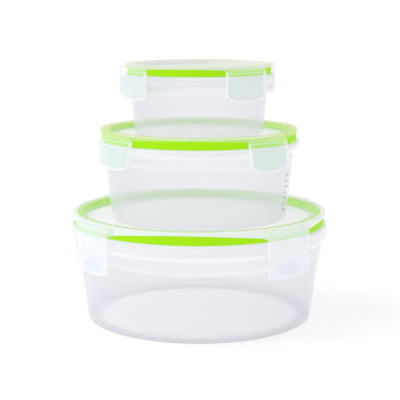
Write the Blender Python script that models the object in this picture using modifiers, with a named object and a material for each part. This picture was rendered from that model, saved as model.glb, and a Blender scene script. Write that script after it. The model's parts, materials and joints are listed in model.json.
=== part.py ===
"""A stack of three round snap lid food containers: large, medium and small.

Each container is a tub, a lid, a seal in the lid's channel, and four latches hinged on the lid.
Metres, +Z up, origin on the stack's axis at the underside of the large tub. The front is -Y.
"""

import math

import bmesh
import bpy
from mathutils import Matrix, Vector

MM = 0.001
WELD = 0.01 * MM            # vertices closer than this are one
NEAR = 0.1 * MM             # vertices this close to a known place belong to it
SHARP = math.radians(35)    # edges bent more than this are shaded as edges

# Sizes that all three containers share.
GAP = 0.3 * MM              # between pieces that touch
TUB_WALL = 1.6 * MM
LID_WALL = 1.6 * MM
EDGE_WALL = 1.3 * MM        # the lid's thin outer edge
SEAL_LEG = 1.5 * MM         # the seal's outer band
SEAL_INNER_LEG = 1.4 * MM
SEAL_WEB = 1.5 * MM         # the seal's roof, on the tub's lip
SEAL_CORNER = 0.5 * MM
SEAL_INNER_DROP = 0.3 * MM  # from the sunk panel's top down to the end of the seal's inner leg
COLLAR_BULGE = 1.3 * MM     # how far the tub's collar stands past the lid
COLLAR_WALL = 1.5 * MM
COLLAR_SWELL = 0.3 * MM     # the collar's middle stands past its upper and lower parts by this
COLLAR_CORNER = 1.6 * MM    # from the collar's widest in to its top face
COLLAR_SLOPE = 2.0 * MM     # the height of the slope at that corner
COLLAR_CURL = 2.6 * MM      # the height over which the collar's lower edge curls in
CURL_REACH = 2.6 * MM       # from the collar's widest in to the curl's tip
CURL_KNEE = 0.3             # of the curl's height: where the outside of the curl turns
CURL_INSIDE = 0.8           # of the curl's height: where the inside of the curl starts
SHOULDER_STEP = 0.9 * MM    # the tub widens by this below its collar
SHOULDER_HEIGHT = 3.0 * MM  # the height over which it does
INNER_BEND = 0.2            # of the heel's outside bend
FOOT_WIDTH = 7.0 * MM
FOOT_HEIGHT = 0.8 * MM
RIM_CORNER = 0.8 * MM       # the bevels on the lid's rim
WELL_CORNER = 1.2 * MM      # the bevel at the foot of the sunk panel's wall
WELL_FLARE = 0.4 * MM       # that wall leans out by this
LATCH_PLAY = 0.9 * MM       # between the collar and a latch's plate
LATCH_PLATE = 1.4 * MM
LATCH_RAISED = 0.6 * MM     # the raised border and thumb pad on a latch
LATCH_BORDER = 2.2 * MM     # the border's width
LATCH_CORNER = 4.0 * MM
CORNER_STEPS = 3
SWELL_STEPS = (-2 / 3, -1 / 3, 0, 1 / 3, 2 / 3)     # of the lower edge's half width
PAD_RISE = 0.6              # of the pad's height: from the border up to the pad's middle
PAD_SUNK = 0.2 * MM         # the pad's face lies this far behind the border's
PAD_STEPS = 16
HINGE_BAR = 1.4 * MM        # the border's height along the hinge
THIN_WEB = 0.5 * MM         # what is left of the plate in the thin strip below the hinge bar
HOOK_PLAY = 0.2 * MM        # between the collar and the hook, when the latch hangs straight
HOOK_RISE = 1.0 * MM        # from the collar's lower edge up to the hook's top, inside the curl
HOOK_HEIGHT = 2.0 * MM
HOOK_SHARE = 0.6            # of the latch's width
HOOK_STEPS = 6
LAND_STEP = 0.6 * MM        # from the lid's top down to the hinge land
LAND_STEPS = 8

LATCH_SIDES = {"front": 0, "right": 90, "back": 180, "left": 270}  # degrees about +Z, from -Y

SIZES = {
    "large": {
        "lid_radius": 100.0 * MM,
        "height": 85.0 * MM,
        "heel_radius": 88.9 * MM,       # the tub's wall where it turns into the floor
        "heel_corner": 4.8 * MM,
        "band_depth": 9.3 * MM,         # from the lid's top to the seal's lower edge
        "collar_height": 12.2 * MM,
        "shoulder_drop": 7.6 * MM,      # from the collar's lower edge down to where the tub narrows
        "lip_room": 0.6 * MM,           # more than GAP between the tub's lip and the seal's inner leg
        "panel_drop": 5.5 * MM,         # from the rim down to the sunk panel
        "hinge_drop": 6.8 * MM,         # from the lid's top to the hinge line
        "edge_middle": 2.0 * MM,        # the lid's edge midway between two latches
        "edge_end": 6.0 * MM,           # the lid's edge beside a latch
        "latch_width": 40.4 * MM,
        "latch_length": 30.5 * MM,
        "latch_bow": 1.0 * MM,          # how far the lower edge swells
        "latch_lean": 0.0,              # degrees, outwards from the hinge down
        "strip_height": 0.0,            # the thin strip below the hinge bar
        "pad": (17.0 * MM, 9.0 * MM),   # the thumb pad's width and height
        "turn": 0.0,
        "segments": 48,
    },
    "medium": {
        "lid_radius": 77.7 * MM,
        "height": 70.0 * MM,
        "heel_radius": 69.2 * MM,
        "heel_corner": 3.6 * MM,
        "band_depth": 8.5 * MM,
        "collar_height": 7.6 * MM,
        "shoulder_drop": 5.2 * MM,
        "lip_room": 0.2 * MM,
        "panel_drop": 4.5 * MM,
        "hinge_drop": 3.0 * MM,
        "edge_middle": 2.0 * MM,
        "edge_end": 3.4 * MM,
        "latch_width": 37.0 * MM,
        "latch_length": 23.4 * MM,
        "latch_bow": 2.2 * MM,
        "latch_lean": 9.0,
        "strip_height": 4.2 * MM,
        "pad": None,
        "turn": 0.0,
        "segments": 40,
    },
    "small": {
        "lid_radius": 57.5 * MM,
        "height": 54.4 * MM,
        "heel_radius": 50.3 * MM,
        "heel_corner": 2.8 * MM,
        "band_depth": 7.2 * MM,
        "collar_height": 8.2 * MM,
        "shoulder_drop": 4.6 * MM,
        "lip_room": 0.0,
        "panel_drop": 4.0 * MM,
        "hinge_drop": 2.8 * MM,
        "edge_middle": 1.8 * MM,
        "edge_end": 2.3 * MM,
        "latch_width": 36.0 * MM,
        "latch_length": 23.6 * MM,
        "latch_bow": 1.8 * MM,
        "latch_lean": 0.0,
        "strip_height": 3.6 * MM,
        "pad": None,
        "turn": -4.6,
        "segments": 36,
    },
}

# name: (base colour, roughness)
FINISHES = {
    "tub_plastic": ((0.83, 0.84, 0.87, 1.0), 0.30),
    "lid_plastic": ((0.83, 0.86, 0.86, 1.0), 0.30),
    "latch_plastic": ((0.85, 0.89, 0.90, 1.0), 0.42),
    "seal_silicone": ((0.40, 0.91, 0.00, 1.0), 0.45),
}


def start():
    """Empties the scene and returns the collections for the parts and for the cutters."""
    for item in list(bpy.data.objects):
        bpy.data.objects.remove(item)
    parts = bpy.data.collections.new("snap_lid_food_containers")
    cutters = bpy.data.collections.new("cutters")
    for collection in (parts, cutters):
        bpy.context.scene.collection.children.link(collection)
    return parts, cutters


def finish(name):
    """The material of that name, made once."""
    material = bpy.data.materials.get(name)
    if material:
        return material
    colour, roughness = FINISHES[name]
    material = bpy.data.materials.new(name)
    material.use_nodes = True
    shader = material.node_tree.nodes["Principled BSDF"]
    shader.inputs["Base Color"].default_value = colour
    shader.inputs["Roughness"].default_value = roughness
    shader.inputs["Metallic"].default_value = 0.0
    material.diffuse_color = colour
    return material


def real_mesh(item):
    """Replaces an object's curve or modifiers by the mesh that they make, with its seams welded."""
    bpy.context.view_layer.update()
    evaluated = item.evaluated_get(bpy.context.evaluated_depsgraph_get())
    mesh = bpy.data.meshes.new_from_object(evaluated)
    welded = bmesh.new()
    welded.from_mesh(mesh)
    bmesh.ops.remove_doubles(welded, verts=welded.verts, dist=WELD)
    welded.to_mesh(mesh)
    welded.free()
    mesh.shade_smooth()
    mesh.set_sharp_from_angle(angle=SHARP)
    made = bpy.data.objects.new(item.name + "_mesh", mesh)
    made.matrix_world = item.matrix_world
    for collection in item.users_collection:
        collection.objects.link(made)
    name = item.name
    bpy.data.objects.remove(item)
    made.name = name
    return made


def turned(name, profile, segments, collection, closed=False):
    """A profile of (radius, height) points turned about Z. It runs up the inside and down the outside."""
    mesh = bpy.data.meshes.new(name)
    edges = [(i, i + 1) for i in range(len(profile) - 1)]
    if closed:
        edges.append((len(profile) - 1, 0))
    mesh.from_pydata([(radius, 0.0, height) for radius, height in profile], edges, [])
    item = bpy.data.objects.new(name, mesh)
    collection.objects.link(item)
    screw = item.modifiers.new("turn", "SCREW")
    screw.axis = "Z"
    screw.angle = math.tau
    screw.steps = screw.render_steps = segments
    screw.use_merge_vertices = True
    screw.merge_threshold = WELD
    return item


def slab(name, outlines, low, high, collection):
    """Flat outlines in the x, y plane, made solid from z = low to z = high. All but the first are holes."""
    curve = bpy.data.curves.new(name, "CURVE")
    curve.dimensions = "2D"
    curve.fill_mode = "BOTH"
    curve.extrude = (high - low) / 2
    for outline in outlines:
        spline = curve.splines.new("POLY")
        spline.points.add(len(outline) - 1)
        spline.use_cyclic_u = True
        for point, (x, y) in zip(spline.points, outline):
            point.co = (x, y, 0.0, 1.0)
    item = bpy.data.objects.new(name, curve)
    collection.objects.link(item)
    item.location.z = (low + high) / 2
    return real_mesh(item)


def upright_slab(name, outlines, front, back, collection):
    """The same with the outlines in the x, z plane, made solid from y = front to y = back."""
    item = slab(name, outlines, -back, -front, collection)
    item.matrix_world = Matrix.Rotation(math.pi / 2, 4, "X") @ item.matrix_world
    return item


def as_cutter(item):
    item.hide_render = True
    item.display_type = "WIRE"
    return item


def join(item, other, operation="UNION"):
    """Adds the other object to the item, or takes it away, with a Boolean."""
    boolean = item.modifiers.new(operation.lower(), "BOOLEAN")
    boolean.operation = operation
    boolean.object = as_cutter(other)
    return item


def arc(radius, half_width, steps, centre_y=0.0):
    """Points along the front arc of a circle, from -half_width to half_width in x."""
    spread = math.asin(half_width / radius)
    angles = [spread * (2 * i / steps - 1) for i in range(steps + 1)]
    return [(radius * math.sin(a), centre_y - radius * math.cos(a)) for a in angles]


def levels(size, base):
    """Every height and radius that more than one piece of a container uses."""
    top = base + size["height"]
    lip = size["lid_radius"] - EDGE_WALL - GAP - SEAL_LEG - GAP
    inner_leg = lip - TUB_WALL - GAP - size["lip_room"]             # the outside of the seal's inner leg
    collar_top = top - size["band_depth"] - GAP
    collar = size["lid_radius"] + COLLAR_BULGE
    hinge_height = top - size["hinge_drop"]
    lean = math.radians(size["latch_lean"])
    drop = hinge_height - collar_top + size["collar_height"] / 2    # from the hinge to the collar's middle
    plate = (LATCH_PLATE + LATCH_RAISED) / math.cos(lean)
    return {
        "base": base,
        "top": top,
        "lip": lip,                                             # the lip's outer radius
        "lip_top": top - LID_WALL - GAP - SEAL_WEB - GAP,
        "collar": collar,
        "collar_top": collar_top,
        "collar_bottom": collar_top - size["collar_height"],
        "well": inner_leg - SEAL_INNER_LEG - GAP - LID_WALL,    # the sunk panel's wall
        "panel": top - size["panel_drop"],
        "hinge_radius": collar + LATCH_PLAY + plate - drop * math.tan(lean),
        "hinge_height": hinge_height,
        "lean": lean,
    }


def tub(name, size, at, collection):
    base, lip, wall = at["base"], at["lip"], TUB_WALL
    below = lip - SHOULDER_STEP
    heel, corner = size["heel_radius"], size["heel_corner"]
    floor = base + FOOT_HEIGHT
    foot = heel - corner - FOOT_WIDTH
    collar, high, low = at["collar"], at["collar_top"], at["collar_bottom"]
    shoulder_top = low - size["shoulder_drop"]
    shoulder_low = shoulder_top - SHOULDER_HEIGHT
    belly = collar - COLLAR_SWELL
    bend = corner * (1 - math.cos(math.pi / 4))
    inside = [
        (0.0, floor + wall),
        (heel - corner, floor + wall),
        (heel - wall - INNER_BEND * bend, base + corner + INNER_BEND * bend),
        (below - wall, shoulder_low),
        (lip - wall, shoulder_top),
        (lip - wall, at["lip_top"]),
    ]
    outside = [
        (lip, at["lip_top"]),
        (lip, high),
        (collar - COLLAR_CORNER, high),
        (belly, high - COLLAR_SLOPE),
        (collar, (high + low) / 2),
        (belly, low + COLLAR_CURL),
        (collar - COLLAR_CORNER, low + CURL_KNEE * COLLAR_CURL),
        (collar - CURL_REACH, low),
        (belly - COLLAR_WALL, low + CURL_INSIDE * COLLAR_CURL),
        (belly - COLLAR_WALL, high - wall),
        (lip, high - wall),
        (lip, shoulder_top),
        (below, shoulder_low),
        (heel, base + corner),
        (heel - bend, base + bend),
        (heel - corner, base),
        (foot, base),
        (foot - FOOT_HEIGHT, floor),
        (0.0, floor),
    ]
    item = real_mesh(turned(name, inside + outside, size["segments"], collection))
    item.data.materials.append(finish("tub_plastic"))
    return item


def edge_depth(size, angle):
    """How deep the lid's outer edge is at an angle about Z: it arches up between two latches."""
    quarter = math.pi / 2
    off_middle = abs((angle % quarter) - quarter / 2)               # 0 midway between two latches
    beside_latch = quarter / 2 - math.asin(size["latch_width"] / 2 / size["lid_radius"])
    share = min(off_middle / beside_latch, 1.0)
    rise = (1 - math.cos(share * beside_latch)) / (1 - math.cos(beside_latch))
    return size["edge_middle"] + (size["edge_end"] - size["edge_middle"]) * rise


def lands(name, size, at, cutters):
    """The four blocks on the lid's edge that the latches hang from."""
    half = size["latch_width"] / 2
    inner = arc(size["lid_radius"] - EDGE_WALL / 2, half, LAND_STEPS)
    outer = -(at["hinge_radius"] - GAP)
    outline = inner + [(half, outer), (-half, outer)]
    made = []
    for side, degrees in LATCH_SIDES.items():
        low, high = at["hinge_height"] + GAP, at["top"] - LAND_STEP
        land = slab(f"{name}_{side}", [outline], low, high, cutters)
        land.matrix_world = Matrix.Rotation(math.radians(degrees), 4, "Z") @ land.matrix_world
        made.append(land)
    return made


def lid(name, size, at, collection, cutters):
    top, radius, well = at["top"], size["lid_radius"], at["well"]
    panel, low = at["panel"], at["top"] - size["edge_end"]
    inner_edge = radius - EDGE_WALL
    under_top, under_panel = top - LID_WALL, panel - LID_WALL
    foot = well - WELL_FLARE                                        # the well's wall at the panel
    profile = [
        (0.0, panel),
        (foot - WELL_CORNER, panel),
        (foot, panel + WELL_CORNER),
        (well, top - RIM_CORNER),
        (well + RIM_CORNER, top),
        (radius - RIM_CORNER, top),
        (radius, top - RIM_CORNER),
        (radius, low),
        (inner_edge, low),
        (inner_edge, under_top),
        (well + LID_WALL, under_top),
        (foot + LID_WALL, under_panel + WELL_CORNER),
        (foot + LID_WALL - WELL_CORNER, under_panel),
        (0.0, under_panel),
    ]
    item = real_mesh(turned(name, profile, size["segments"], collection))
    for vertex in item.data.vertices:
        reach = Vector((vertex.co.x, vertex.co.y)).length
        if reach > inner_edge - NEAR and vertex.co.z < low + NEAR:
            vertex.co.z = top - edge_depth(size, math.atan2(vertex.co.y, vertex.co.x))
    for land in lands(name + "_land", size, at, cutters):
        join(item, land)
    item = real_mesh(item)
    item.data.materials.clear()
    item.data.materials.append(finish("lid_plastic"))
    return item


def seal(name, size, at, collection):
    roof = at["top"] - LID_WALL - GAP
    outer = size["lid_radius"] - EDGE_WALL - GAP
    inner = at["well"] + LID_WALL + GAP
    low = at["top"] - size["band_depth"]
    inner_low = at["panel"] - SEAL_INNER_DROP
    profile = [
        (outer - SEAL_CORNER, roof),
        (outer, roof - SEAL_CORNER),
        (outer, low),
        (outer - SEAL_LEG, low),
        (outer - SEAL_LEG, roof - SEAL_WEB),
        (inner + SEAL_INNER_LEG, roof - SEAL_WEB),
        (inner + SEAL_INNER_LEG, inner_low),
        (inner, inner_low),
        (inner, roof),
    ]
    item = real_mesh(turned(name, profile, size["segments"], collection, closed=True))
    item.data.materials.append(finish("seal_silicone"))
    return item


def latch_outline(size, inset=0.0):
    """A latch's face in x and z, with the hinge line at z = 0, drawn in by inset. Its lower edge swells."""
    half = size["latch_width"] / 2 - inset
    top = -GAP - (HINGE_BAR if inset else 0.0)
    low = inset - size["latch_length"]
    bow, corner = size["latch_bow"], LATCH_CORNER - inset / 2
    shoulder = low + bow
    side = [(-half, top)]
    for i in range(CORNER_STEPS + 1):
        a = math.pi / 2 * i / CORNER_STEPS
        side.append((-half + corner * (1 - math.cos(a)), shoulder + corner * (1 - math.sin(a))))
    flat = half - corner
    swell = [(flat * x, shoulder - bow * (1 - x * x)) for x in SWELL_STEPS]
    return side + swell + [(-x, z) for x, z in reversed(side)]


def strip_outline(size):
    """The thin strip below a latch's hinge bar, through which the seal's colour shows."""
    half = size["latch_width"] / 2 - LATCH_BORDER
    top = -GAP - HINGE_BAR
    low = top - size["strip_height"]
    return [(-half, top), (-half, low), (half, low), (half, top)]


def oval(width, height, centre, steps):
    angles = [math.tau * i / steps for i in range(steps)]
    return [(width / 2 * math.cos(a), centre + height / 2 * math.sin(a)) for a in angles]


def latch_mesh(name, size, at, cutters):
    """One latch about its own hinge line: x runs along the hinge and -y points away from the tub."""
    face = latch_outline(size)
    back = LATCH_RAISED + LATCH_PLATE
    plate = upright_slab(name, [face], LATCH_RAISED, back, cutters)
    border = [face, latch_outline(size, LATCH_BORDER)]
    join(plate, upright_slab(name + "_border", border, 0.0, LATCH_RAISED + GAP, cutters))
    if size["strip_height"]:
        strip = [strip_outline(size)]
        web = upright_slab(name + "_strip", strip, LATCH_RAISED + THIN_WEB, back + GAP, cutters)
        join(plate, web, "DIFFERENCE")
    if size["pad"]:
        width, height = size["pad"]
        middle = LATCH_BORDER + PAD_RISE * height - size["latch_length"]
        pad = [oval(width, height, middle, PAD_STEPS)]
        join(plate, upright_slab(name + "_pad", pad, PAD_SUNK, LATCH_RAISED + GAP, cutters))
    plate = real_mesh(plate)
    plate.matrix_world = Matrix.Rotation(-at["lean"], 4, "X") @ plate.matrix_world
    # The hook follows the collar's curve, and swings in under it.
    half = size["latch_width"] / 2 * HOOK_SHARE
    high = at["collar_bottom"] + HOOK_RISE - at["hinge_height"]
    inner = arc(at["collar"] + HOOK_PLAY, half, HOOK_STEPS, at["hinge_radius"])
    middle = (LATCH_RAISED + LATCH_PLATE / 2) / math.cos(at["lean"]) + high * math.tan(at["lean"])
    outline = inner + [(half, middle), (-half, middle)]
    join(plate, slab(name + "_hook", [outline], high - HOOK_HEIGHT, high, cutters))
    pattern = as_cutter(real_mesh(plate))
    pattern.data.transform(pattern.matrix_world)
    return pattern.data


def latches(container, size, at, collection, cutters):
    mesh = latch_mesh(container + "_latch_pattern", size, at, cutters)
    mesh.materials.clear()
    mesh.materials.append(finish("latch_plastic"))
    for side, degrees in LATCH_SIDES.items():
        turn = math.radians(degrees)
        item = bpy.data.objects.new(f"{container}_latch_{side}", mesh)
        collection.objects.link(item)
        reach = at["hinge_radius"]
        item.location = (reach * math.sin(turn), -reach * math.cos(turn), at["hinge_height"])
        item.rotation_euler = (0.0, 0.0, turn)
        yield item


def container(name, size, base, parts, cutters):
    """One container standing on height base. Returns the height that the next one stands on."""
    at = levels(size, base)
    pieces = [
        tub(name + "_tub", size, at, parts),
        lid(name + "_lid", size, at, parts, cutters),
        seal(name + "_seal", size, at, parts),
        *latches(name, size, at, parts, cutters),
    ]
    stand = bpy.data.objects.new(name + "_container", None)
    parts.objects.link(stand)
    for piece in pieces:
        piece.parent = stand
    stand.rotation_euler = (0.0, 0.0, math.radians(size["turn"]))
    return at["panel"] + GAP


def main():
    parts, cutters = start()
    base = 0.0
    for name, size in SIZES.items():
        base = container(name, size, base, parts, cutters)
    bpy.context.view_layer.update()


main()
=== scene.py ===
import json
import math

import bmesh
import bpy
from mathutils import Matrix, Vector


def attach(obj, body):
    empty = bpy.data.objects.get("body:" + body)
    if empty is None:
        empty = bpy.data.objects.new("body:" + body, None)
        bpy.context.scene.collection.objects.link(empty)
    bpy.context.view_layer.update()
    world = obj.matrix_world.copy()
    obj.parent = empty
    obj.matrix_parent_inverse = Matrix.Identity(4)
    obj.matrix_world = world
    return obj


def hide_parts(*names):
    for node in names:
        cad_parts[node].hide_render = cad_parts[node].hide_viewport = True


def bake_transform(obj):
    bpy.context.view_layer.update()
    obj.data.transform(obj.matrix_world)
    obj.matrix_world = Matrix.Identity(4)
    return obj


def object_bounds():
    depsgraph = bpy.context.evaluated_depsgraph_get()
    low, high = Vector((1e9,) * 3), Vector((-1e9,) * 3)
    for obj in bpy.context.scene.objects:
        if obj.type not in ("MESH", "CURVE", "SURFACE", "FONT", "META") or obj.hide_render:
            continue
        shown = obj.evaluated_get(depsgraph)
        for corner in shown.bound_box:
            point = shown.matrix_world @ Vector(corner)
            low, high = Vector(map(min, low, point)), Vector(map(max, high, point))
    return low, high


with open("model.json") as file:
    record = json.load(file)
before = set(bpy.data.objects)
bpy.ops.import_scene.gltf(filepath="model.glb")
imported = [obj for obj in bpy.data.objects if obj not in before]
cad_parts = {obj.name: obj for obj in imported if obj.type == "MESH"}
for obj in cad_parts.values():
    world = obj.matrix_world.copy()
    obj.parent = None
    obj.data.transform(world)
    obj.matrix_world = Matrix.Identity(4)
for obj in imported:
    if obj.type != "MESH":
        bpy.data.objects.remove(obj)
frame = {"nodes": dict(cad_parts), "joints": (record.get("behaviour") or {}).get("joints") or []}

mm = 0.001
cadLow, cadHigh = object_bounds()

# what all three containers share
shared = {
    "turnSteps": 192,       # round the axis
    "gap": 0.3 * mm,
    "tubWall": 1.6 * mm,
    "lidWall": 1.6 * mm,
    "edgeWall": 1.3 * mm,
    "landStep": 0.6 * mm,
    "lipInset": 1.8 * mm,   # from the seal's outside in to the tub's lip
    "arcSteps": 12,
    "sharp": math.radians(32),
}

# what differs, by container
containers = {
    "large": {
        "edgeMiddle": 2.0 * mm,
        "edgeEnd": 6.0 * mm,
        "latchWidth": 40.4 * mm,
        "latchLength": 30.5 * mm,
        "latchBow": 1.0 * mm,
        "latchLean": 0.0,
        "latchBorder": 1.7 * mm,
        "strip": 0.0,
        "pad": (17.0 * mm, 9.0 * mm),
        "heelCorner": 4.8 * mm,
        "clearRim": 5.4 * mm,
        "lidLooks": ["rimPlasticLarge", "wellPlastic", "panelPaintedLight", "landFrosted", "sealedLarge"],
        "tubLooks": [
            "tubPlastic", "collarPlastic", "floorPaintedLight", "heelPaintedShade",
            "collarShade", "tubInsidePaintedLight", "curlPaintedHighlight", "footPaintedShadow",
        ],
        "latchTray": "latchTray",
    },
    "medium": {
        "edgeMiddle": 2.0 * mm,
        "edgeEnd": 3.4 * mm,
        "latchWidth": 37.0 * mm,
        "latchLength": 23.4 * mm,
        "latchBow": 2.2 * mm,
        "latchLean": 9.0,
        "latchBorder": 1.2 * mm,
        "strip": 4.2 * mm,
        "pad": None,
        "heelCorner": 3.6 * mm,
        "clearRim": 2.4 * mm,
        "lidLooks": ["rimPlasticMedium", "wellPlastic", "panelPaintedLight", "landClear", "sealedMedium"],
        "tubLooks": ["tubPlastic", "collarPlastic", "floorPaintedLight", "heelFaint", "collarShade", "tubInsidePaintedLight",
                     "curlPaintedHighlight", "heelFaint"],
        "latchTray": "latchTrayMedium",
    },
    "small": {
        "edgeMiddle": 1.8 * mm,
        "edgeEnd": 2.3 * mm,
        "latchWidth": 36.0 * mm,
        "latchLength": 23.6 * mm,
        "latchBow": 1.8 * mm,
        "latchLean": 0.0,
        "latchBorder": 1.1 * mm,
        "strip": 3.6 * mm,
        "pad": None,
        "heelCorner": 2.8 * mm,
        "clearRim": 1.0 * mm,
        "lidLooks": ["rimPlasticSmall", "wellFrosted", "panelPaintedLight", "landSmall", "sealedSmall"],
        # the small tub's curl takes the lighter collar plastic, a milder painted highlight
        "tubLooks": ["tubPlastic", "collarShade", "floorPaintedLight", "heelFaint", "collarShade", "tubInsidePaintedLight",
                     "collarPlastic", "heelFaint"],
        "latchTray": "latchTraySmall",
    },
}
latchSides = ["front", "right", "back", "left"]


def cornersOf(node):
    return [(math.hypot(v.co.x, v.co.y), v.co.z) for v in frame["nodes"][node].data.vertices]


def hingeOf(latch):
    return next(joint for joint in frame["joints"] if joint["name"] == latch + "_hinge")


def measure(name):
    tub = cornersOf(name + "_tub")
    lid = cornersOf(name + "_lid")
    seal = cornersOf(name + "_seal")
    base = min(z for r, z in tub)
    top = max(z for r, z in lid)
    collar = max(r for r, z in tub)
    sealOuter = max(r for r, z in seal)
    sealInner = min(r for r, z in seal)
    lip = sealOuter - shared["lipInset"]
    collarHeights = [z for r, z in tub if r > collar - 2.7 * mm]    # down to the tip of its curl
    x, y, hingeHeight = hingeOf(name + "_latch_front")["pos_m"]
    return {
        "base": base,
        "top": top,
        "collar": collar,
        "collarTop": max(collarHeights),
        "collarBottom": min(collarHeights),
        "lipTop": max(z for r, z in tub),
        "lip": lip,
        "shoulder": min(z for r, z in tub if abs(r - lip) < 0.02 * mm),     # where the tub narrows
        "heel": max(r for r, z in tub if z < base + 5.0 * mm),
        "sealOuter": sealOuter,
        "sealInner": sealInner,
        "bandLow": min(z for r, z in seal),
        "sealTop": max(z for r, z in seal),
        "lidRadius": sealOuter + shared["gap"] + shared["edgeWall"],
        "well": sealInner - shared["lidWall"] - shared["gap"],
        "panel": min(z for r, z in lid) + shared["lidWall"],
        "hingeRadius": math.hypot(x, y),
        "hingeHeight": hingeHeight,
        "turn": math.atan2(x, -y),
    }


places = {name: measure(name) for name in containers}
print("measured", {name: round(at["top"] / mm, 1) for name, at in places.items()})


def addNode(tree, kind, place=(0, 0), **values):
    node = tree.nodes.new(kind)
    node.location = place
    for key, value in values.items():
        if hasattr(node, key):
            setattr(node, key, value)
        else:
            node.inputs[key].default_value = value
    return node


# Fine skin that a polished or sandblasted mould leaves, with slow cloudy haze.
def makeSkinGroup():
    group = bpy.data.node_groups.new("mouldedSkin", "ShaderNodeTree")
    face = group.interface
    face.new_socket("Vector", in_out="INPUT", socket_type="NodeSocketVector")
    for title, value in [("Grain Scale", 900.0), ("Cloud Scale", 30.0), ("Flow", 0.3), ("Cloud", 0.5)]:
        face.new_socket(title, in_out="INPUT", socket_type="NodeSocketFloat").default_value = value
    face.new_socket("Haze", in_out="OUTPUT", socket_type="NodeSocketFloat")
    face.new_socket("Height", in_out="OUTPUT", socket_type="NodeSocketFloat")
    links = group.links
    enter = addNode(group, "NodeGroupInput", (-800, 0))
    leave = addNode(group, "NodeGroupOutput", (600, 0))
    grain = addNode(group, "ShaderNodeTexNoise", (-500, 250), Detail=2.0, Roughness=0.6)
    cloud = addNode(group, "ShaderNodeTexNoise", (-500, -50), Detail=3.0, Roughness=0.55, Distortion=0.4)
    flow = addNode(group, "ShaderNodeTexWave", (-500, -350), Distortion=6.0, Detail=2.0)
    flow.bands_direction = "Z"
    links.new(enter.outputs["Vector"], grain.inputs["Vector"])
    links.new(enter.outputs["Vector"], cloud.inputs["Vector"])
    links.new(enter.outputs["Vector"], flow.inputs["Vector"])
    links.new(enter.outputs["Grain Scale"], grain.inputs["Scale"])
    links.new(enter.outputs["Cloud Scale"], cloud.inputs["Scale"])
    links.new(enter.outputs["Cloud Scale"], flow.inputs["Scale"])
    streak = addNode(group, "ShaderNodeMath", (-200, -300), operation="MULTIPLY")
    links.new(flow.outputs["Fac"], streak.inputs[0])
    links.new(enter.outputs["Flow"], streak.inputs[1])
    soft = addNode(group, "ShaderNodeMath", (-200, -50), operation="MULTIPLY")
    links.new(cloud.outputs["Fac"], soft.inputs[0])
    links.new(enter.outputs["Cloud"], soft.inputs[1])
    haze = addNode(group, "ShaderNodeMath", (50, -100), operation="ADD", use_clamp=True)
    links.new(streak.outputs[0], haze.inputs[0])
    links.new(soft.outputs[0], haze.inputs[1])
    links.new(haze.outputs[0], leave.inputs["Haze"])
    links.new(grain.outputs["Fac"], leave.inputs["Height"])
    return group


skinGroup = makeSkinGroup()

# height and scale of the grain, scale of the clouds, share of the flow lines
skins = {
    "polished": {"bump": 0.05, "grain": 700.0, "clouds": 22.0, "flow": 0.10},
    "collar": {"bump": 0.06, "grain": 700.0, "clouds": 22.0, "flow": 0.10},
    "panel": {"bump": 0.06, "grain": 700.0, "clouds": 26.0, "flow": 0.10},
    "well": {"bump": 0.06, "grain": 700.0, "clouds": 30.0, "flow": 0.10},
    "rim": {"bump": 0.08, "grain": 700.0, "clouds": 30.0, "flow": 0.10},
    "land": {"bump": 0.08, "grain": 900.0, "clouds": 40.0, "flow": 0.10},
    "latch": {"bump": 0.12, "grain": 1500.0, "clouds": 60.0, "flow": 0.10},
    "thumbPad": {"bump": 0.16, "grain": 1800.0, "clouds": 60.0, "flow": 0.10},
    "strip": {"bump": 0.10, "grain": 1500.0, "clouds": 60.0, "flow": 0.10},
    "marks": {"bump": 0.20, "grain": 1500.0, "clouds": 80.0, "flow": 0.10},
    "silicone": {"bump": 0.15, "grain": 1200.0, "clouds": 50.0, "flow": 0.12},
}

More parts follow.
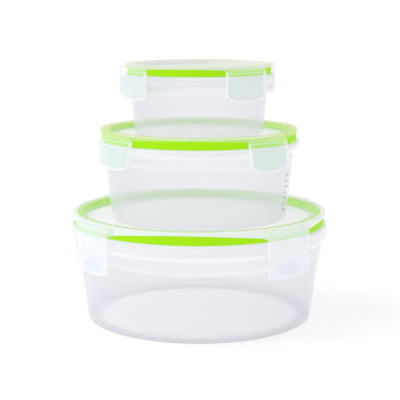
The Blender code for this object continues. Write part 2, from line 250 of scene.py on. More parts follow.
# base and cloudy colours, roughness from and to, alpha seen square on and at a glance
looks = {
    "tubPlastic": {
        "base": (0.735, 0.745, 0.80), "cloudy": (0.76, 0.77, 0.825), "rough": (0.28, 0.34),
        "alpha": (0.36, 0.74), "skin": "polished",
    },
    # painted light: a lighter copy of the tub plastic for the inner wall, lifting the shade inside the tub
    "tubInsidePaintedLight": {
        "base": (0.77, 0.775, 0.83), "cloudy": (0.79, 0.795, 0.85), "rough": (0.28, 0.34),
        "alpha": (0.05, 0.24), "skin": "polished",
    },
    # painted shade: a darker copy of the tub plastic for the inside corner at the heel
    "heelPaintedShade": {
        "base": (0.64, 0.65, 0.71), "cloudy": (0.67, 0.68, 0.74), "rough": (0.28, 0.34),
        "alpha": (0.26, 0.50), "skin": "polished",
    },
    # painted contact shadow: a dark copy of the tub plastic along the outer bottom edge
    "footPaintedShadow": {
        "base": (0.46, 0.47, 0.56), "cloudy": (0.49, 0.50, 0.59), "rough": (0.28, 0.34),
        "alpha": (0.55, 0.75), "skin": "polished",
    },
    # painted highlight: a light, more opaque copy of the tub plastic on the collar's curl
    "curlPaintedHighlight": {
        "base": (0.91, 0.925, 0.945), "cloudy": (0.93, 0.94, 0.96), "rough": (0.24, 0.32),
        "alpha": (0.72, 0.90), "skin": "polished",
    },
    "heelFaint": {
        "base": (0.74, 0.745, 0.79), "cloudy": (0.77, 0.775, 0.82), "rough": (0.28, 0.34),
        "alpha": (0.12, 0.34), "skin": "polished",
    },
    # painted light: a near-white copy of the tub plastic for the floor, standing in for the bright light
    # from below
    "floorPaintedLight": {
        "base": (0.93, 0.91, 0.98), "cloudy": (0.95, 0.93, 0.99), "rough": (0.30, 0.36),
        "alpha": (0.16, 0.42), "skin": "polished",
    },
    "collarPlastic": {
        "base": (0.84, 0.86, 0.88), "cloudy": (0.87, 0.88, 0.91), "rough": (0.24, 0.32),
        "alpha": (0.40, 0.80), "skin": "collar",
    },
    "collarShade": {
        "base": (0.78, 0.80, 0.83), "cloudy": (0.81, 0.83, 0.86), "rough": (0.24, 0.32),
        "alpha": (0.40, 0.80), "skin": "collar",
    },
    # painted light: a near-white copy of the lid plastic for the sunk panel, lifting the shade seen through
    # it
    "panelPaintedLight": {
        "base": (0.97, 0.95, 0.99), "cloudy": (0.98, 0.96, 1.0), "rough": (0.30, 0.36),
        "alpha": (0.30, 0.62), "skin": "panel",
    },
    "wellPlastic": {
        "base": (0.84, 0.88, 0.84), "cloudy": (0.88, 0.92, 0.88), "rough": (0.20, 0.28),
        "alpha": (0.10, 0.26), "skin": "well",
    },
    "wellFrosted": {
        "base": (0.82, 0.83, 0.80), "cloudy": (0.85, 0.86, 0.83), "rough": (0.26, 0.36),
        "alpha": (0.80, 0.90), "skin": "rim",
    },
    "sealedLarge": {
        "base": (0.48, 0.74, 0.20), "cloudy": (0.52, 0.78, 0.24), "rough": (0.24, 0.34),
        "alpha": (0.55, 0.75), "skin": "well",
    },
    "sealedMedium": {
        "base": (0.50, 0.74, 0.08), "cloudy": (0.54, 0.78, 0.10), "rough": (0.24, 0.34),
        "alpha": (0.60, 0.80), "skin": "well",
    },
    "sealedSmall": {
        "base": (0.76, 0.79, 0.62), "cloudy": (0.79, 0.82, 0.66), "rough": (0.24, 0.34),
        "alpha": (0.80, 0.92), "skin": "rim",
    },
    "rimPlasticLarge": {
        "base": (0.83, 0.89, 0.87), "cloudy": (0.86, 0.91, 0.89), "rough": (0.24, 0.34),
        "alpha": (0.80, 0.88), "skin": "rim",
    },
    "rimPlasticMedium": {
        "base": (0.62, 0.80, 0.24), "cloudy": (0.66, 0.83, 0.28), "rough": (0.24, 0.34),
        "alpha": (0.45, 0.60), "skin": "rim",
    },
    "rimPlasticSmall": {
        "base": (0.74, 0.79, 0.62), "cloudy": (0.77, 0.82, 0.66), "rough": (0.24, 0.34),
        "alpha": (0.70, 0.80), "skin": "rim",
    },
    "landFrosted": {
        "base": (0.80, 0.87, 0.84), "cloudy": (0.84, 0.90, 0.87), "rough": (0.28, 0.38),
        "alpha": (0.50, 0.64), "skin": "land",
    },
    "landSmall": {
        "base": (0.74, 0.79, 0.62), "cloudy": (0.77, 0.82, 0.66), "rough": (0.26, 0.36),
        "alpha": (0.06, 1.0), "skin": "land",
    },
    "landClear": {
        "base": (0.72, 0.84, 0.56), "cloudy": (0.76, 0.87, 0.62), "rough": (0.26, 0.36),
        "alpha": (0.16, 0.60), "skin": "land",
    },
    "latchTray": {
        "base": (0.87, 0.92, 0.945), "cloudy": (0.89, 0.94, 0.96), "rough": (0.38, 0.50),
        "alpha": (0.34, 0.62), "skin": "latch",
    },
    "latchTrayMedium": {
        "base": (0.68, 0.82, 0.75), "cloudy": (0.71, 0.85, 0.78), "rough": (0.38, 0.50),
        "alpha": (0.46, 0.66), "skin": "latch",
    },
    "latchTraySmall": {
        "base": (0.72, 0.80, 0.80), "cloudy": (0.75, 0.83, 0.83), "rough": (0.38, 0.50),
        "alpha": (0.52, 0.70), "skin": "latch",
    },
    "latchBorder": {
        "base": (0.88, 0.92, 0.94), "cloudy": (0.91, 0.94, 0.96), "rough": (0.30, 0.42),
        "alpha": (0.62, 0.84), "skin": "latch",
    },
    "latchPad": {
        "base": (0.74, 0.80, 0.88), "cloudy": (0.77, 0.83, 0.90), "rough": (0.40, 0.55),
        "alpha": (0.42, 0.66), "skin": "thumbPad",
    },
    "latchStrip": {
        "base": (0.82, 0.90, 0.82), "cloudy": (0.86, 0.92, 0.86), "rough": (0.26, 0.38),
        "alpha": (0.10, 0.30), "skin": "strip",
    },
    "scaleInk": {
        "base": (0.34, 0.36, 0.40), "cloudy": (0.42, 0.44, 0.48), "rough": (0.40, 0.55),
        "alpha": (0.80, 0.90), "skin": "marks",
    },
    "sealSilicone": {
        "base": (0.38, 0.84, 0.002), "cloudy": (0.41, 0.87, 0.004), "rough": (0.50, 0.62),
        "alpha": None, "skin": "silicone",
    },
}
optics = {
    "ior": 1.49,
    "plasticGloss": 0.45,
    "siliconeGloss": 0.12,
    "cloudShare": 0.5,
    "grainDepth": 0.05 * mm,
    "facingBlend": 0.35,
    "lightThrough": 0.20,   # of a clear wall's alpha, for light that isn't on its way to the eye
}


def makeMaterial(name):
    look = looks[name]
    texture = skins[look["skin"]]
    material = bpy.data.materials.new(name)
    material.use_nodes = True
    tree = material.node_tree
    links = tree.links
    shader = tree.nodes["Principled BSDF"]
    shader.inputs["IOR"].default_value = optics["ior"]
    gloss = optics["siliconeGloss"] if name == "sealSilicone" else optics["plasticGloss"]
    shader.inputs["Specular IOR Level"].default_value = gloss
    place = addNode(tree, "ShaderNodeTexCoord", (-1000, 0))
    skin = addNode(tree, "ShaderNodeGroup", (-780, 0))
    skin.node_tree = skinGroup
    skin.inputs["Grain Scale"].default_value = texture["grain"]
    skin.inputs["Cloud Scale"].default_value = texture["clouds"]
    skin.inputs["Flow"].default_value = texture["flow"]
    skin.inputs["Cloud"].default_value = optics["cloudShare"]
    links.new(place.outputs["Object"], skin.inputs["Vector"])
    paint = addNode(tree, "ShaderNodeMix", (-480, 220), data_type="RGBA")
    paint.inputs[6].default_value = (*look["base"], 1.0)
    paint.inputs[7].default_value = (*look["cloudy"], 1.0)
    links.new(skin.outputs["Haze"], paint.inputs[0])
    links.new(paint.outputs[2], shader.inputs["Base Color"])
    rough = addNode(tree, "ShaderNodeMapRange", (-480, 0))
    rough.inputs["To Min"].default_value, rough.inputs["To Max"].default_value = look["rough"]
    links.new(skin.outputs["Haze"], rough.inputs["Value"])
    links.new(rough.outputs["Result"], shader.inputs["Roughness"])
    bump = addNode(tree, "ShaderNodeBump", (-480, -300))
    bump.inputs["Strength"].default_value = texture["bump"]
    bump.inputs["Distance"].default_value = optics["grainDepth"]
    links.new(skin.outputs["Height"], bump.inputs["Height"])
    links.new(bump.outputs["Normal"], shader.inputs["Normal"])
    if look["alpha"]:
        facing = addNode(tree, "ShaderNodeLayerWeight", (-780, -260), Blend=optics["facingBlend"])
        clear = addNode(tree, "ShaderNodeMapRange", (-480, -560))
        clear.inputs["To Min"].default_value, clear.inputs["To Max"].default_value = look["alpha"]
        ray = addNode(tree, "ShaderNodeLightPath", (-780, -700))
        passed = addNode(tree, "ShaderNodeMapRange", (-480, -820))
        passed.inputs["To Min"].default_value = optics["lightThrough"]
        alpha = addNode(tree, "ShaderNodeMath", (-240, -600), operation="MULTIPLY")
        links.new(facing.outputs["Facing"], clear.inputs["Value"])
        links.new(ray.outputs["Is Camera Ray"], passed.inputs["Value"])
        links.new(clear.outputs["Result"], alpha.inputs[0])
        links.new(passed.outputs["Result"], alpha.inputs[1])
        links.new(alpha.outputs[0], shader.inputs["Alpha"])
        material.surface_render_method = "BLENDED"
    return material


materials = {name: makeMaterial(name) for name in looks}
print("made", len(materials), "materials")


# Corners are (radius, height, fillet, slot); slot counts from that corner on.
def rounded(corners, closed=False, steps=5):
    points = []
    count = len(corners)
    for i, (r, z, fillet, slot) in enumerate(corners):
        here = Vector((r, z))
        if fillet == 0 or (not closed and i in (0, count - 1)):
            points.append((r, z, slot))
            continue
        before = Vector(corners[i - 1][:2]) - here
        after = Vector(corners[(i + 1) % count][:2]) - here
        turn = math.pi - before.angle(after)
        reach = min(fillet * math.tan(turn / 2), 0.48 * before.length, 0.48 * after.length)
        first = here + before.normalized() * reach
        last = here + after.normalized() * reach
        for k in range(steps + 1):
            t = k / steps
            spot = first * (1 - t) ** 2 + here * 2 * t * (1 - t) + last * t * t
            points.append((spot.x, spot.y, slot))
    return points


def linkMesh(name, made, materialNames):
    bmesh.ops.recalc_face_normals(made, faces=made.faces)
    mesh = bpy.data.meshes.new(name)
    made.to_mesh(mesh)
    made.free()
    for title in materialNames:
        mesh.materials.append(materials[title])
    mesh.shade_smooth()
    mesh.set_sharp_from_angle(angle=shared["sharp"])
    piece = bpy.data.objects.new(name, mesh)
    bpy.context.scene.collection.objects.link(piece)
    return piece


def joinRings(made, rings, slots, closed=False):
    pairs = list(zip(rings, rings[1:], slots))
    if closed:
        pairs.append((rings[-1], rings[0], slots[-1]))
    for low, high, slot in pairs:
        count = max(len(low), len(high))
        for i in range(count):
            j = (i + 1) % count
            if len(low) == 1:
                corners = (low[0], high[i], high[j])
            elif len(high) == 1:
                corners = (low[i], low[j], high[0])
            else:
                corners = (low[i], low[j], high[j], high[i])
            made.faces.new(corners).material_index = slot


def turnedPiece(name, profile, materialNames, closed=False):
    made = bmesh.new()
    steps = shared["turnSteps"]
    rings = []
    for r, z, slot in profile:
        if r < 0.001 * mm:
            rings.append([made.verts.new((0.0, 0.0, z))])
            continue
        angles = [math.tau * i / steps for i in range(steps)]
        rings.append([made.verts.new((r * math.sin(a), -r * math.cos(a), z)) for a in angles])
    joinRings(made, rings, [slot for r, z, slot in profile], closed)
    return linkMesh(name, made, materialNames)


# A flat outline of (x, y) points made solid from low to high, its long edges softened.
def prism(name, outline, low, high, soften, materialNames):
    made = bmesh.new()
    floor = [made.verts.new((x, y, low)) for x, y in outline]
    roof = [made.verts.new((x, y, high)) for x, y in outline]
    made.faces.new(floor)
    made.faces.new(roof)
    joinRings(made, [floor, roof], [0, 0])
    if soften:
        edges = [e for e in made.edges if e.verts[0].co.z == e.verts[1].co.z]
        bmesh.ops.bevel(made, geom=edges, offset=soften, segments=3, profile=0.5, affect="EDGES")
    return linkMesh(name, made, materialNames)


def combine(piece, tool, operation):
    step = piece.modifiers.new("combine", "BOOLEAN")
    step.operation = operation
    step.solver = "EXACT"
    step.object = tool
    bpy.context.view_layer.update()
    seen = piece.evaluated_get(bpy.context.evaluated_depsgraph_get())
    mesh = bpy.data.meshes.new_from_object(seen)
    piece.modifiers.clear()
    piece.data = mesh
    bpy.data.objects.remove(tool)
    tidy = bmesh.new()
    tidy.from_mesh(mesh)
    bmesh.ops.remove_doubles(tidy, verts=tidy.verts, dist=0.002 * mm)
    tidy.to_mesh(mesh)
    tidy.free()
    mesh.shade_smooth()
    mesh.set_sharp_from_angle(angle=shared["sharp"])
    return piece


def arcPoints(radius, halfWidth, steps, centre=0.0):
    spread = math.asin(halfWidth / radius)
    angles = [spread * (2 * i / steps - 1) for i in range(steps + 1)]
    return [(radius * math.sin(a), centre - radius * math.cos(a)) for a in angles]


tubDetail = {
    "footWidth": 7.0 * mm,
    "footHeight": 0.8 * mm,
    "footShadowHeight": 1.1 * mm,       # painted contact shadow: the lower edge gathers a dark line up to here
    "gateRadius": 1.6 * mm,
    "gateRise": 0.35 * mm,
    "gateSlope": 0.3 * mm,
    "gateFillet": 0.1 * mm,
    "footFillet": 0.6 * mm,
    "heelFillet": 0.9,          # of the heel's corner, inside and outside
    "heelTuck": 0.12,           # likewise: the outer heel leans in by this
    "wallFillet": 4.0 * mm,     # inside, where the tub widens
    "lipFillet": 0.5 * mm,
    "collarSwell": 0.3 * mm,
    "collarWall": 1.5 * mm,
    "collarTopFillet": 2.4 * mm,
    "curl": 2.6 * mm,
    "curlCorner": 1.6 * mm,
    "curlKnee": 0.78 * mm,
    "curlReach": 2.6 * mm,
    "curlInside": 2.1 * mm,
    "curlRise": 3.8 * mm,
    "bead": 0.4 * mm,
    "shoulderHeight": 3.0 * mm,
    "shoulderStep": 0.9 * mm,
}


def makeTub(name):
    at, own, d = places[name], containers[name], tubDetail
    wall = shared["tubWall"]
    base, lip, heel, corner = at["base"], at["lip"], at["heel"], own["heelCorner"]
    floor = base + d["footHeight"]
    foot = heel - corner - d["footWidth"]
    collar, high, low = at["collar"], at["collarTop"], at["collarBottom"]
    below = lip - d["shoulderStep"]
    step = at["shoulder"]
    narrow = step - d["shoulderHeight"]
    behind = collar - d["collarSwell"] - d["collarWall"]    # the collar's inner face
    outside, collarSlot, floorSlot, heelSlot, shade, inside, curl, footPaintedShadow = range(8)
    corners = [
        # the floor and the foot take the floor look, painted light
        (0.0, floor + wall, 0, floorSlot),
        # the inside corner at the heel takes the heel look, painted shade on the large tub
        (heel - wall - 1.4 * corner, floor + wall, 0, heelSlot),
        (heel - wall - 0.1 * corner, floor + wall, d["heelFillet"] * corner, heelSlot),
        # the inner wall takes the inside look, painted light
        (heel - wall + 0.04 * corner, floor + wall + corner, 0, inside),
        (below - wall, narrow, d["wallFillet"], inside),
        (lip - wall, step, d["wallFillet"], inside),
        (lip - wall, at["lipTop"], d["lipFillet"], outside),
        (lip, at["lipTop"], d["lipFillet"], outside),
        (lip, high, d["lipFillet"], collarSlot),
        (collar - 0.2 * mm, high, d["collarTopFillet"], collarSlot),
        (collar, (high + low) / 2, 20 * mm, collarSlot),
        # the curl takes the curl look, a painted highlight
        (collar - 0.1 * mm, low + d["curlRise"], 2 * mm, curl),
        (collar - d["collarSwell"], low + d["curl"], 1.2 * mm, curl),
        (collar - d["curlCorner"], low + d["curlKnee"], 0.8 * mm, curl),
        (collar - d["curlReach"], low, 0.2 * mm, collarSlot),
        (behind, low + d["curlInside"], 0.5 * mm, collarSlot),
        (behind, high - wall, 1.2 * mm, collarSlot),
        (lip, high - wall, 0.8 * mm, shade),
        (lip, step + 0.8 * mm, 0.5 * mm, collarSlot),
        (lip + d["bead"], step + 0.2 * mm, 0.5 * mm, collarSlot),
        (lip + d["bead"], step - 0.6 * mm, 0.5 * mm, collarSlot),
        (below, narrow, 1.5 * mm, outside),
        (heel, base + corner, 6 * mm, outside),
        (heel - d["heelTuck"] * corner, base, d["heelFillet"] * corner, outside),
        (foot, base, d["footFillet"], floorSlot),
        (foot - d["footHeight"], floor, d["footFillet"], floorSlot),
        (d["gateRadius"] + d["gateSlope"], floor, d["gateFillet"], floorSlot),
        (d["gateRadius"], floor + d["gateRise"], d["gateFillet"], floorSlot),
        (0.0, floor + d["gateRise"], 0, floorSlot),
    ]
    profile = rounded(corners)
    # painted contact shadow: the outer lower edge below this height takes the dark foot look
    edge = base + d["footShadowHeight"]
    profile = [(r, z, footPaintedShadow if r > foot and z < edge else slot) for r, z, slot in profile]
    tub = turnedPiece(name + "_tub_body", profile, own["tubLooks"])
    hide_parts(name + "_tub")
    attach(tub, name + "_tub")


for name in containers:
    makeTub(name)
print("made the tubs")

# Moulded fill marks on the medium tub's wall.
scaleMarks = {
    "angle": math.radians(117),
    "low": 9.0 * mm,
    "step": 4.6 * mm,
    "count": 7,
    "long": 5.0 * mm,
    "short": 3.0 * mm,
    "tall": 1.0 * mm,
    "proud": 0.2 * mm,
    "bevel": 0.15 * mm,
}


def makeScaleMarks():
    at, own, d = places["medium"], containers["medium"], scaleMarks
    narrow = at["shoulder"] - tubDetail["shoulderHeight"]
    heelTop = at["base"] + own["heelCorner"]
    slope = (at["lip"] - tubDetail["shoulderStep"] - at["heel"]) / (narrow - heelTop)
    made = bmesh.new()
    for i in range(d["count"]):
        height = at["base"] + d["low"] + i * d["step"]
        radius = at["heel"] + slope * (height - heelTop)
        width = d["long"] if i % 2 == 0 else d["short"]
        size = Matrix.Diagonal((width, 2 * d["proud"], d["tall"], 1.0))
        spot = Matrix.Rotation(d["angle"], 4, "Z") @ Matrix.Translation((width / 2, -radius, height))
        lean = Matrix.Rotation(-math.atan(slope), 4, "X")
        bmesh.ops.create_cube(made, size=1.0, matrix=spot @ lean @ size)
    edges = made.edges[:]
    bmesh.ops.bevel(made, geom=edges, offset=d["bevel"], segments=2, profile=0.5, affect="EDGES")
    marks = linkMesh("medium_tub_scale", made, ["scaleInk"])
    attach(marks, "medium_tub")


makeScaleMarks()
print("made the fill marks")


sealDetail = {
    "leg": 1.5 * mm,
    "innerLeg": 1.4 * mm,
    "web": 1.5 * mm,
    "groove": 0.15 * mm,
    "innerDrop": 0.3 * mm,
    "grooveHeight": 1.5,        # in thirds of the band
    "grooveHalf": 0.1,          # likewise
    "bandFillet": 0.5 * mm,
    "footFillet": 0.4 * mm,
    "grooveFillet": 0.3 * mm,
}


def makeSeal(name):
    at, d = places[name], sealDetail
    outer, inner, low, roof = at["sealOuter"], at["sealInner"], at["bandLow"], at["sealTop"]
    innerLow = at["panel"] - d["innerDrop"]
    third = (roof - low) / 3
    corners = [
        (outer, roof, d["bandFillet"], 0),
        (outer, low + (d["grooveHeight"] + d["grooveHalf"]) * third, d["grooveFillet"], 0),
        (outer - d["groove"], low + d["grooveHeight"] * third, d["grooveFillet"], 0),
        (outer, low + (d["grooveHeight"] - d["grooveHalf"]) * third, d["grooveFillet"], 0),
        (outer, low, d["bandFillet"], 0),
        (outer - d["leg"], low, d["footFillet"], 0),
        (outer - d["leg"], roof - d["web"], d["bandFillet"], 0),
        (inner + d["innerLeg"], roof - d["web"], d["bandFillet"], 0),
        (inner + d["innerLeg"], innerLow, d["footFillet"], 0),
        (inner, innerLow, d["footFillet"], 0),
        (inner, roof, d["bandFillet"], 0),
    ]
    profile = rounded(corners, closed=True, steps=3)
    seal = turnedPiece(name + "_seal_ring", profile, ["sealSilicone"], closed=True)
    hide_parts(name + "_seal")
    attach(seal, name + "_lid")


for name in containers:
    makeSeal(name)
print("made the seals")


lidDetail = {
    "wellCorner": 1.4 * mm,
    "wellFlare": 0.4 * mm,
    "rimCorner": 0.9 * mm,
    "landFillet": 1.0 * mm,
    "landSoften": 0.3 * mm,
    "wellFoot": 2.4 * mm,       # the panel's outer ring, which goes with the well
    "wellFillet": 0.5 * mm,
    "edgeFillet": 0.3 * mm,
    "edgeNear": 0.05 * mm,      # what counts as the outer edge
    "edgeFoot": 0.4 * mm,       # likewise, up from its lower side
    "gateSlope": 0.3 * mm,
    "gateFillet": 0.1 * mm,
    "gateRadius": 1.6 * mm,
    "gateDepth": 0.3 * mm,
}


def edgeRise(name, x, y):
    own = containers[name]
    quarter = math.pi / 2
    angle = math.atan2(x, -y) - places[name]["turn"]
    offMiddle = abs((angle % quarter) - quarter / 2)
    besideLatch = quarter / 2 - math.asin(own["latchWidth"] / 2 / places[name]["lidRadius"])
    share = min(offMiddle / besideLatch, 1.0)
    climb = (1 - math.cos(share * besideLatch)) / (1 - math.cos(besideLatch))
    return (own["edgeEnd"] - own["edgeMiddle"]) * (1 - climb)


def makeLid(name):
    at, own, d = places[name], containers[name], lidDetail
    wall, top, panel, radius = shared["lidWall"], at["top"], at["panel"], at["lidRadius"]
    well, foot = at["well"], at["well"] - d["wellFlare"]
    inside, low = radius - shared["edgeWall"], top - own["edgeEnd"]
    rim, wellSlot, panelSlot, landSlot, sealed = range(5)
    corners = [
        # the sunk panel takes the panel look, painted light
        (0.0, panel - d["gateDepth"], 0, panelSlot),
        (d["gateRadius"], panel - d["gateDepth"], d["gateFillet"], panelSlot),
        (d["gateRadius"] + d["gateSlope"], panel, d["gateFillet"], panelSlot),
        (foot - d["wellFoot"], panel, 0, wellSlot),
        (foot, panel, d["wellCorner"], wellSlot),
        (well, top, d["rimCorner"], sealed),
        (well + own["clearRim"], top, 0, rim),
        (radius, top, d["rimCorner"], rim),
        (radius, low, d["edgeFillet"], rim),
        (inside, low, d["edgeFillet"], rim),
        (inside, top - wall, d["edgeFillet"], rim),
        (well + own["clearRim"], top - wall, 0, wellSlot),
        (well + wall, top - wall, d["wellFillet"], wellSlot),
        (foot + wall, panel - wall, d["wellCorner"], wellSlot),
        (foot - d["wellFoot"], panel - wall, 0, panelSlot),
        (0.0, panel - wall, 0, panelSlot),
    ]
    names = own["lidLooks"]
    lid = turnedPiece(name + "_lid_body", rounded(corners), names)
    for vertex in lid.data.vertices:
        x, y, z = vertex.co
        if math.hypot(x, y) > inside - d["edgeNear"] and z < low + d["edgeFoot"]:
            vertex.co.z += edgeRise(name, x, y)
    half = own["latchWidth"] / 2
    front = at["hingeRadius"] - shared["gap"]
    inner = arcPoints(radius - shared["edgeWall"] / 2, half, shared["arcSteps"])
    outline = [(x, y, 0, 0) for x, y in inner]
    outline += [(half, -front, d["landFillet"], 0), (-half, -front, d["landFillet"], 0)]
    outline = [(x, y) for x, y, slot in rounded(outline, closed=True)]
    for i in range(len(latchSides)):
        under, over = at["hingeHeight"] + shared["gap"], top - shared["landStep"]
        land = prism(name + "_land", outline, under, over, d["landSoften"], names)
        for polygon in land.data.polygons:
            polygon.material_index = landSlot
        land.matrix_world = Matrix.Rotation(at["turn"] + i * math.pi / 2, 4, "Z")
        combine(lid, land, "UNION")
    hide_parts(name + "_lid")
    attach(lid, name + "_lid")


for name in containers:
    makeLid(name)
print("made the lids")


latchDetail = {
    "raised": 0.6 * mm,
    "plate": 1.4 * mm,
    "hingeBar": 1.4 * mm,
    "corner": 4.0 * mm,
    "cornerSteps": 8,
    "swellSteps": 14,
    "sideSteps": 6,
    "topSteps": 14,
    "recess": 0.5 * mm,         # hollowed back
    "flange": 1.2 * mm,
    "cornerLeast": 0.8 * mm,
    "padRise": 0.6,             # middle of the thumb pad above the lower border, in pad heights
    "padRings": [(-3.0, 0.4), (-1.2, 0.25), (-0.4, 0.35), (0.5, 0.6)],      # growth and depth in mm
    "edgeFillet": 0.2 * mm,
    "stripInset": 0.6 * mm,
    "stripDrop": 0.5 * mm,
    "hookPlay": 0.2 * mm,
    "hookRise": 1.0 * mm,
    "hookHeight": 2.0 * mm,
    "hookShare": 0.6,
    "hookSoften": 0.25 * mm,
    "hookBite": 0.1 * mm,       # how far past the plate's middle the hook begins
    "webThick": 0.4 * mm,
    "webInset": 1.2 * mm,
    "webBack": 0.45 * mm,
    "webHeights": [0.7, 0.4, 0.3, 0.2, 0.1, 0.0, -0.1, -0.2, -0.3, -0.4, -0.7],     # in mm
    "webSteps": 10,
    "webBend": 0.35 * mm,       # it bends between here above and here below
}


# A latch's outline in x and z, drawn in by inset, with the same count of points for every inset.
def latchRing(own, inset):
    d = latchDetail
    half = own["latchWidth"] / 2 - inset
    top = -shared["gap"] - inset * d["hingeBar"] / own["latchBorder"]
    low = inset - own["latchLength"]
    bow = own["latchBow"]
    corner = max(d["corner"] - inset / 2, d["cornerLeast"])
    shoulder = low + bow
    left = []
    for i in range(d["sideSteps"]):
        left.append((-half, top + (shoulder + corner - top) * i / d["sideSteps"]))
    for i in range(d["cornerSteps"] + 1):
        a = math.pi / 2 * i / d["cornerSteps"]
        left.append((-half + corner * (1 - math.cos(a)), shoulder + corner * (1 - math.sin(a))))
    flat = half - corner
    swell = []
    for i in range(1, d["swellSteps"]):
        share = 2 * i / d["swellSteps"] - 1
        swell.append((flat * share, shoulder - bow * (1 - share * share)))
    right = [(-x, z) for x, z in reversed(left)]
    ceiling = [(half - 2 * half * i / d["topSteps"], top) for i in range(1, d["topSteps"])]
    return left + swell + right + ceiling


# The same count of points on an oval, each in the direction of its outline point.
def ovalRing(ring, width, height, centre):
    points = []
    for x, z in ring:
        a = math.atan2((z - centre) / height, x / width)
        points.append((width / 2 * math.cos(a), centre + height / 2 * math.sin(a)))
    return points


def makeLatchMesh(name):
    at, own, d = places[name], containers[name], latchDetail
    tray, border, pad, strip = 0, 1, 2, 3
    back = d["raised"] + d["plate"]
    edge = own["latchBorder"]
    soft = d["edgeFillet"]
    rings = []                                                  # outline, depth, slot of the next band
    if own["pad"]:
        width, height = own["pad"]
        centre = edge + d["padRise"] * height - own["latchLength"]
        ring = latchRing(own, edge)
        for (grow, depth), slot in zip(d["padRings"], [pad, pad, pad, tray]):
            oval = ovalRing(ring, width + 2 * grow * mm, height + 2 * grow * mm, centre)
            rings.append((oval, depth * mm, slot))
    rings += [
        (latchRing(own, edge + 0.7 * mm), d["raised"], tray),
        (latchRing(own, edge + soft), d["raised"] - 0.08 * mm, border),
        (latchRing(own, edge), d["raised"] - 0.25 * mm, border),
        (latchRing(own, edge - soft), 0.1 * mm, border),
        (latchRing(own, edge - 2 * soft), 0.0, border),
        (latchRing(own, 0.5 * mm), 0.0, border),
        (latchRing(own, soft), 0.15 * mm, border),
        (latchRing(own, 0.0), 0.5 * mm, border),
        (latchRing(own, 0.0), back - 0.3 * mm, border),
        (latchRing(own, soft), back, border),
        (latchRing(own, d["flange"]), back, border),
        (latchRing(own, d["flange"] + 0.3 * mm), back - d["recess"] + 0.15 * mm, border),
        (latchRing(own, d["flange"] + 0.7 * mm), back - d["recess"], tray),
    ]
    made = bmesh.new()
    loops = [[made.verts.new((x, y, z)) for x, z in ring] for ring, y, slot in rings]
    joinRings(made, loops, [slot for ring, y, slot in rings])
    made.faces.new(loops[0]).material_index = rings[0][2]
    made.faces.new(loops[-1]).material_index = tray
    hingeSlot = strip if own["strip"] else tray
    for face in made.faces:
        if face.material_index == border and face.calc_center_median().z > -shared["gap"] - d["hingeBar"]:
            face.material_index = hingeSlot
    names = [own["latchTray"], "latchBorder", "latchPad", "latchStrip"]
    latch = linkMesh(name + "_latch_pattern", made, names)
    if own["strip"]:
        half = own["latchWidth"] / 2 - edge - d["stripInset"]
        high = -shared["gap"] - d["hingeBar"] - d["stripDrop"]
        low = high - own["strip"]
        for near, far in [(0.2 * mm, d["raised"] + 0.15 * mm), (d["raised"] + 0.5 * mm, back + 1 * mm)]:
            box = bmesh.new()
            size = Matrix.Diagonal((2 * half, far - near, high - low, 1.0))
            spot = Matrix.Translation((0.0, (near + far) / 2, (high + low) / 2))
            bmesh.ops.create_cube(box, size=1.0, matrix=spot @ size)
            for face in box.faces:
                face.material_index = strip
            combine(latch, linkMesh("stripCutter", box, names), "DIFFERENCE")
    lean = math.radians(own["latchLean"])
    latch.data.transform(Matrix.Rotation(-lean, 4, "X"))
    half = own["latchWidth"] / 2 * d["hookShare"]
    high = at["collarBottom"] + d["hookRise"] - at["hingeHeight"]
    inner = arcPoints(at["collar"] + d["hookPlay"], half, shared["arcSteps"], at["hingeRadius"])
    middle = (d["raised"] + d["plate"] / 2 - d["hookBite"]) / math.cos(lean) + high * math.tan(lean)
    outline = inner + [(half, middle), (-half, middle)]
    hook = prism("hook", outline, high - d["hookHeight"], high, d["hookSoften"], names)
    for polygon in hook.data.polygons:
        polygon.material_index = border
    combine(latch, hook, "UNION")
    mesh = latch.data
    bpy.data.objects.remove(latch)
    return mesh


# The thin web that the hinge bends in, built in one piece and set at the latch's hinge.
def makeWeb(name, latchName, spot):
    own, d = containers[name], latchDetail
    half = own["latchWidth"] / 2 - d["webInset"]
    near = d["webBack"]
    far = near + d["webThick"]
    made = bmesh.new()
    rings = []
    steps = d["webSteps"]
    for h in d["webHeights"]:
        xs = [half * (2 * i / steps - 1) for i in range(steps + 1)]
        ring = [(x, near, h * mm) for x in xs] + [(x, far, h * mm) for x in reversed(xs)]
        rings.append([made.verts.new(p) for p in ring])
    joinRings(made, rings, [0] * len(rings))
    made.faces.new(rings[0])
    made.faces.new(rings[-1])
    web = linkMesh(latchName + "_web", made, ["latchStrip"])
    web.data.transform(spot)
    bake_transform(web)


for name in containers:
    mesh = makeLatchMesh(name)
    for side in latchSides:
        latchName = f"{name}_latch_{side}"
        x, y, z = hingeOf(latchName)["pos_m"]
        spot = Matrix.Translation((x, y, z)) @ Matrix.Rotation(math.atan2(x, -y), 4, "Z")
        latch = bpy.data.objects.new(latchName + "_flap", mesh.copy())
        bpy.context.scene.collection.objects.link(latch)
        latch.matrix_world = spot
        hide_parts(latchName)
        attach(latch, latchName)
        makeWeb(name, latchName, spot)
print("made the latches and their webs")


studio = {
    "floorRadius": 12.0,
    "floorDrop": 0.05 * mm,
    "floorRough": 0.9,
    "floorColour": (0.985, 0.985, 1.0, 1.0),
    "skyColour": (0.99, 0.968, 1.0, 1.0),
    "skyStrength": 0.90,
    "skySeen": 1.1,
    "floorGlow": 0.03,
    "keyStrength": 0.75,
    "keyAngle": math.radians(35),       # a wide source, for soft shadows
    "keyFrom": (-0.45, -0.65, 1.0),
    "cameraAzimuth": math.radians(50.5),
    "cameraDistance": 913.7 * mm,
    "cameraHeight": 252.3 * mm,
    "cameraDip": math.radians(9.96),
    "cameraLens": 105.3,
    "cameraSensor": 36.0,
    "cameraShift": 0.0025,
}


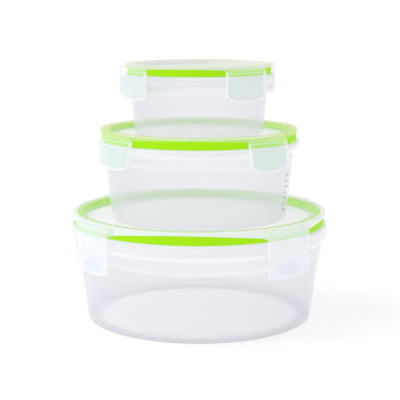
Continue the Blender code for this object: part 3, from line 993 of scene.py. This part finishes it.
def makeFloor():
    made = bmesh.new()
    bmesh.ops.create_circle(made, cap_ends=True, segments=96, radius=studio["floorRadius"])
    mesh = bpy.data.meshes.new("floor")
    made.to_mesh(mesh)
    made.free()
    material = bpy.data.materials.new("floorPaint")
    material.use_nodes = True
    shader = material.node_tree.nodes["Principled BSDF"]
    shader.inputs["Base Color"].default_value = studio["floorColour"]
    shader.inputs["Roughness"].default_value = studio["floorRough"]
    shader.inputs["Specular IOR Level"].default_value = 0.0
    shader.inputs["Emission Color"].default_value = (1.0, 1.0, 1.0, 1.0)
    shader.inputs["Emission Strength"].default_value = studio["floorGlow"]
    mesh.materials.append(material)
    floor = bpy.data.objects.new("floor", mesh)
    floor.location.z = cadLow.z - studio["floorDrop"]
    bpy.context.scene.collection.objects.link(floor)


def makeSky():
    world = bpy.data.worlds.new("studioSky")
    bpy.context.scene.world = world
    world.use_nodes = True
    tree = world.node_tree
    background = tree.nodes["Background"]
    ray = addNode(tree, "ShaderNodeLightPath", (-500, 0))
    strength = addNode(tree, "ShaderNodeMapRange", (-250, 0))
    strength.inputs["To Min"].default_value = studio["skyStrength"]
    strength.inputs["To Max"].default_value = studio["skySeen"]
    tree.links.new(ray.outputs["Is Camera Ray"], strength.inputs["Value"])
    tree.links.new(strength.outputs["Result"], background.inputs["Strength"])
    background.inputs["Color"].default_value = studio["skyColour"]


def makeKey():
    lamp = bpy.data.lights.new("key", "SUN")
    lamp.energy = studio["keyStrength"]
    lamp.angle = studio["keyAngle"]
    item = bpy.data.objects.new("key", lamp)
    item.location = studio["keyFrom"]
    item.rotation_euler = (-Vector(studio["keyFrom"])).to_track_quat("-Z", "Y").to_euler()
    item.visible_glossy = False         # the even sky is what the walls mirror
    bpy.context.scene.collection.objects.link(item)


def makeCamera():
    camera = bpy.data.cameras.new("camera")
    camera.lens = studio["cameraLens"]
    camera.sensor_width = studio["cameraSensor"]
    camera.shift_x = studio["cameraShift"]
    item = bpy.data.objects.new("camera", camera)
    azimuth, distance = studio["cameraAzimuth"], studio["cameraDistance"]
    item.location = (distance * math.sin(azimuth), -distance * math.cos(azimuth), studio["cameraHeight"])
    item.rotation_euler = (math.pi / 2 - studio["cameraDip"], 0.0, azimuth)
    bpy.context.scene.collection.objects.link(item)
    bpy.context.scene.camera = item


makeFloor()
makeSky()
makeKey()
makeCamera()
scene = bpy.context.scene
scene.view_settings.view_transform = "Standard"
scene.cycles.transparent_max_bounces = 64       # many clear walls stand behind each other
